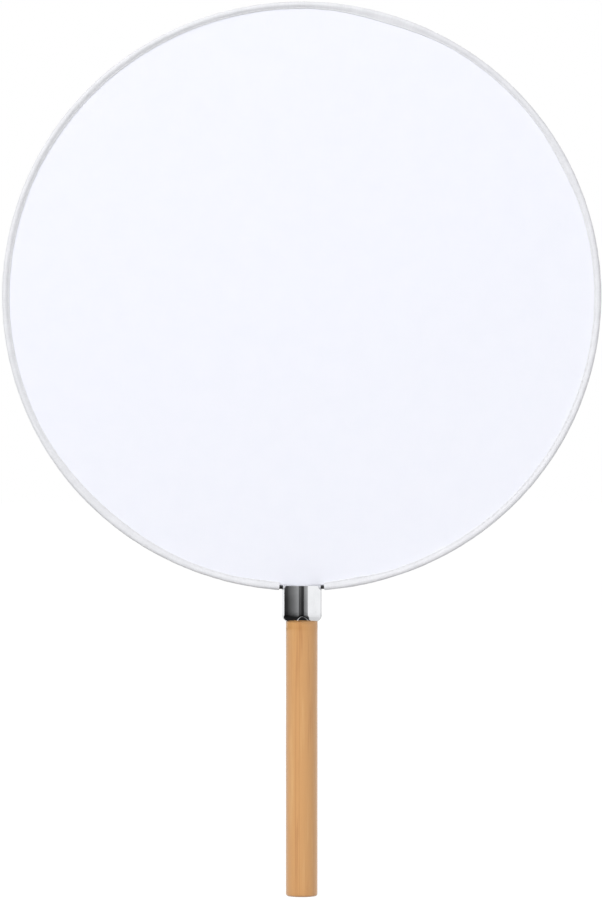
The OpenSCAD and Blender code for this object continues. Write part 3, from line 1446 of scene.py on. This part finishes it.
    def dress(
        self, tape: bpy.types.Object, front: bpy.types.Object, back: bpy.types.Object
    ) -> None:
        """Gives the tape and both rows of stitches their finish and body, and hides the CAD nodes
        that they replace.

        Args:
            tape: The tape.
            front: The row of stitches on the front.
            back: The row on the back.
        """
        weave = Weave(
            "binding_tape",
            colour=(0.825, 0.83, 0.86),
            shade=(0.755, 0.76, 0.79),
            pitch=0.30 * MM,
            slub=6 * MM,
            # Stronger painted shade where the tape's weave dips
            hollow_shade=0.06,
            crease_depth=0.09 * MM,
        )
        put_on(tape, weave.material(), "edge_binding")
        thread = TwistedThread().material()
        put_on(front, thread, "needle_thread")
        put_on(back, thread, "bobbin_thread")

    def declare(
        self, tape: bpy.types.Object, front: bpy.types.Object, back: bpy.types.Object
    ) -> None:
        """Works out how long the tape was cut, and keeps none of it.

        Args:
            tape: The tape. Not used.
            front: The row of stitches on the front. Not used.
            back: The row on the back. Not used.
        """
        length = self.measures.outline.length * (self.last_angle - self.first_angle) / math.tau


@dataclass
class Rod:
    """The bamboo rod, sanded round, with its lower edge rounded over."""

    measures: Measures
    sides: int = 96
    rings: int = 40
    lower_round: float = 1 * MM
    lower_steps: int = 6
    top_round: float = 0.15 * MM
    top_steps: int = 3
    pilot_radius: float = 1.5 * MM
    pilot_depth: float = 15.2 * MM
    ripple: float = 0.05 * MM
    ripple_width: float = 4 * MM
    ripple_length: float = 24 * MM

    def profile(self) -> list[Pair]:
        """The rod's rings from the lower end up the outside and down into the pilot hole.

        Returns:
            Radius and height of each ring.
        """
        radius, top = self.measures.rod_radius, self.measures.rod_top
        low, high = self.lower_round, top - self.top_round
        rings = arc((radius - low, low), low, -90, 0, self.lower_steps)
        rings += [(radius, low + (high - low) * step / self.rings) for step in range(1, self.rings)]
        rings += arc((radius - self.top_round, high), self.top_round, 0, 90, self.top_steps)
        rings += [(self.pilot_radius, top), (self.pilot_radius, top - self.pilot_depth)]
        return rings

    def build(self) -> bpy.types.Object:
        """Turns a rod with rounded edges, a pilot hole and slight sanding ripples.

        Returns:
            The rod.
        """
        bench = turned_piece("bamboo_rod", self.profile(), self.sides, closed=False)
        for vertex in bench.done().data.vertices:
            out = Vector((vertex.co.x, vertex.co.y, 0.0))
            if out.length > self.measures.rod_radius / 2:
                spot = out / self.ripple_width
                spot.z = vertex.co.z / self.ripple_length
                sanded = self.ripple * (0.5 - noise.noise(spot))
                vertex.co -= out.normalized() * max(0.0, sanded)
        bench.smooth(degrees=35)
        return bench.piece

    def dress(self, piece: bpy.types.Object) -> None:
        """Gives the rod its bamboo finish, and hides the CAD node that it replaces."""
        put_on(piece, Bamboo().material(), "handle")


@dataclass
class Cup:
    """The chrome cup between the disc and the rod."""

    measures: Measures
    sides: int = 160
    wall: float = 0.6 * MM
    floor: float = 0.8 * MM
    curve: float = 2.6 * MM
    curve_steps: int = 12
    screw_hole: float = 1.6 * MM
    edge_round: float = 0.12 * MM
    edge_steps: int = 3
    notch_gap: float = 0.1 * MM
    notch_drop: float = 0.9 * MM
    notch_sides: int = 24
    notch_round: float = 0.05 * MM
    tool_past: float = 2 * MM
    tool_rise: float = 3 * MM

    # Edges to ease: how many walls in, how far they run along X, and how far off the notch's radius
    eased_depth: float = 1.3
    eased_slope: float = 0.7
    eased_slack: float = 0.03

    def profile(self) -> list[Pair]:
        """The cup's rings: seat, foot and outer wall, over the rim, and down inside.

        Returns:
            Radius and height of each ring.
        """
        radius, seat, steps = self.measures.cup_radius, self.measures.rod_top, self.edge_steps
        bore, floor = radius - self.wall, seat + self.floor
        turn_in = self.curve - (radius - self.measures.rod_radius)
        middle = (radius - self.curve, seat + math.sqrt(self.curve**2 - turn_in**2))
        inner_curve = self.curve - self.wall
        foot = -math.degrees(math.asin((middle[1] - seat) / self.curve))
        inner_foot = -math.degrees(math.asin((middle[1] - floor) / inner_curve))
        lip = self.measures.cup_rim - self.edge_round
        rings = [(self.screw_hole, seat)]
        rings += arc(middle, self.curve, foot, 0, self.curve_steps)
        rings += [(radius, middle[1] + self.edge_round), (radius, lip - self.edge_round)]
        rings += arc((radius - self.edge_round, lip), self.edge_round, 0, 90, steps)
        rings += arc((bore + self.edge_round, lip), self.edge_round, 90, 180, steps)
        rings += arc(middle, inner_curve, 0, inner_foot, self.curve_steps)
        rings += [(self.screw_hole, floor), (self.screw_hole, seat)]
        return rings

    def build(self) -> bpy.types.Object:
        """Turns a cup with a curved foot, a hole for the screw and notches for the wire.

        Returns:
            The cup.
        """
        bench = turned_piece("chrome_cup", self.profile(), self.sides, closed=True)
        self._cut_notches(bench)
        bench.smooth(degrees=40)
        return bench.piece

    def dress(self, piece: bpy.types.Object) -> None:
        """Gives the cup its plate, and hides the CAD node that it replaces."""
        put_on(piece, Chrome().material(), "ferrule")

    def _cut_notches(self, bench: Bench) -> None:
        """Cuts a round-ended notch for the wire in each side of the rim, and eases its edges.

        Args:
            bench: The bench with the cup.
        """
        radius = self.measures.wire_radius + self.notch_gap
        height = self.measures.cup_rim - self.notch_drop
        tool = Bench.start(
            "notch_tool",
            bpy.ops.mesh.primitive_cylinder_add,
            vertices=self.notch_sides,
            radius=radius,
            depth=2 * (self.measures.cup_radius + self.tool_past),
            location=(0.0, 0.0, height),
            rotation=(0.0, math.pi / 2, 0.0),
        )
        tool.pick(Element.VERTEX, lambda co, _: co.z > height + SAME_PLACE)
        bpy.ops.transform.translate(value=(0.0, 0.0, self.tool_rise))
        bench.modify("BOOLEAN", object=tool.done(), operation="DIFFERENCE", solver="EXACT")
        remove(tool.piece)

        def on_notch(co: Vector, way: Vector) -> bool:
            """Tells whether an edge is one of the notch's that follow the cup's wall.

            Args:
                co: The edge's middle.
                way: Its direction.

            Returns:
                True if it is.
            """
            reach = math.hypot(co.y, co.z - height) if co.z < height else abs(co.y)
            on_wall = abs(co.x) > self.measures.cup_radius - self.eased_depth * self.wall
            on_cut = abs(reach - radius) < self.eased_slack * radius
            return on_wall and on_cut and abs(way.x) < self.eased_slope

        bench.pick(Element.EDGE, on_notch)
        bpy.ops.mesh.bevel(
            offset=self.notch_round, segments=2, affect="EDGES", clamp_overlap=True
        )
        bench.merge()


@dataclass
class Fittings:
    """The CAD nodes that stay as they are: the wire, the plug and the screw."""

    finishes: dict[str, Finish] = field(
        default_factory=lambda: {
            "hoop_wire": Enamel(),
            "hoop_plug": MouldedPlastic(),
            "handle_screw": ZincSteel(),
        }
    )

    def dress(self) -> None:
        """Gives each node its finish."""
        for name, finish in self.finishes.items():
            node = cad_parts[name]
            node.data.materials.clear()
            node.data.materials.append(finish.material())
            LOG.info("%s: CAD node with %s", name, finish.name)


@dataclass(frozen=True)
class Lamp:
    """A square soft lamp, with its side in metres and its power in watts."""

    name: str
    place: Triple
    size: float
    power: float

    def hang(self, target: Vector) -> None:
        """Hangs the lamp so that it faces a target and isn't mirrored itself.

        Args:
            target: What it faces.
        """
        light = bpy.data.lights.new(self.name, "AREA")
        light.shape = "SQUARE"
        light.size = self.size
        light.energy = self.power
        lamp = bpy.data.objects.new(self.name, light)
        lamp.location = self.place
        lamp.rotation_mode = "QUATERNION"
        lamp.rotation_quaternion = (target - lamp.location).to_track_quat("-Z", "Y")
        bpy.context.scene.collection.objects.link(lamp)
        lamp.visible_glossy = False


@dataclass
class Studio:
    """Floor, lamps, the tray that the cup mirrors, white surroundings and the camera."""

    measures: Measures
    frame_height: float = 367.9 * MM
    frame_left: float = -0.3 * MM
    frame_middle: float = 182.3 * MM
    lens: float = 200.0
    sensor: float = 36.0
    clip: Pair = (0.05, 60.0)
    floor_size: float = 30.0
    surroundings: float = 0.45
    tray_radius: float = 130 * MM
    tray_drop: float = 3.4 * MM
    tray_height: float = 60 * MM
    tray_sides: int = 144
    lamps: tuple[Lamp, ...] = (
        Lamp("key_lamp", (-1.5, -1.5, 1.9), 1.3, 37.5),
        Lamp("front_lamp", (0.4, -2.2, 0.75), 1.2, 18.5),
        Lamp("back_lamp", (1.3, 2.0, 1.2), 1.3, 30.0),
    )

    def camera(self) -> None:
        """Sets a long lens straight in front of the disc, at the middle of the picture."""
        lens = bpy.data.cameras.new("camera")
        lens.lens = self.lens
        lens.sensor_width = self.sensor
        lens.clip_start, lens.clip_end = self.clip
        distance = self.frame_height * self.lens / self.sensor
        camera = bpy.data.objects.new("camera", lens)
        camera.location = (self.frame_left, -distance, self.frame_middle)
        camera.rotation_euler = (math.pi / 2, 0.0, 0.0)
        bpy.context.scene.collection.objects.link(camera)
        bpy.context.scene.camera = camera

    def floor(self) -> None:
        """Lays a wide pale floor that the rod's end stands on."""
        bench = Bench.start("studio_floor", bpy.ops.mesh.primitive_plane_add, size=self.floor_size)
        bench.piece.data.materials.append(Paper().material())

    def tray(self) -> None:
        """Sets a round glowing tray of dark and grey bands about the cup, which only mirrored rays
        see, as painted reflections.
        """
        low = self.measures.rod_top - self.tray_drop
        bench = Bench.start(
            "painted_reflection_tray",
            bpy.ops.mesh.primitive_cylinder_add,
            vertices=self.tray_sides,
            radius=self.tray_radius,
            depth=self.tray_height,
            location=(0.0, 0.0, low + self.tray_height / 2),
        )
        bench.pick(Element.FACE, lambda _, normal: normal.z > 0.5)
        bpy.ops.mesh.delete(type="FACE")
        piece = bench.done()
        piece.data.materials.append(PaintedReflectionBands(bottom=low).material())
        for rays in ("camera", "diffuse", "shadow", "transmission", "volume_scatter"):
            setattr(piece, "visible_" + rays, False)

    def white_room(self) -> None:
        """Gives soft light from all round, which reads white to the lens and in metal."""
        world = bpy.data.worlds.new("white_room")
        world.use_nodes = True
        bpy.context.scene.world = world
        recipe = Recipe(world.node_tree)
        strength = recipe.seen_directly().between(self.surroundings, 1.0)
        light = recipe.node("Background", {}, {"Color": (*WHITE, 1.0), "Strength": strength})
        recipe.output(light, "OutputWorld")

    def build(self) -> None:
        """Sets up the whole studio."""
        self.camera()
        self.floor()
        for lamp in self.lamps:
            lamp.hang(Vector((0.0, 0.0, self.measures.outline.centre_z)))
        self.tray()
        self.white_room()
        bpy.context.scene.view_settings.view_transform = "Standard"


def main() -> None:
    """Builds and dresses each sub-assembly in its studio, and reports each piece."""
    logging.basicConfig(level=logging.INFO, format="%(message)s")
    measures = Measures.from_frame(DISC_HEIGHT)
    Studio(measures).build()
    panel = Panel(measures)
    cloth = panel.build()
    panel.dress(cloth)
    binding = Binding(measures)
    tape = binding.build()
    front = binding.stitches("needle_stitches", Side.FRONT)
    back = binding.stitches("bobbin_stitches", Side.BACK)
    binding.dress(tape, front, back)
    rod = Rod(measures)
    bamboo = rod.build()
    rod.dress(bamboo)
    cup = Cup(measures)
    chrome = cup.build()
    cup.dress(chrome)
    Fittings().dress()
    panel.declare(cloth)
    binding.declare(tape, front, back)
    for piece in (cloth, tape, front, back, bamboo, chrome):
        LOG.info("%s: %d faces", piece.name, len(piece.data.polygons))
    bpy.context.view_layer.update()


if __name__ == "__main__":
    main()
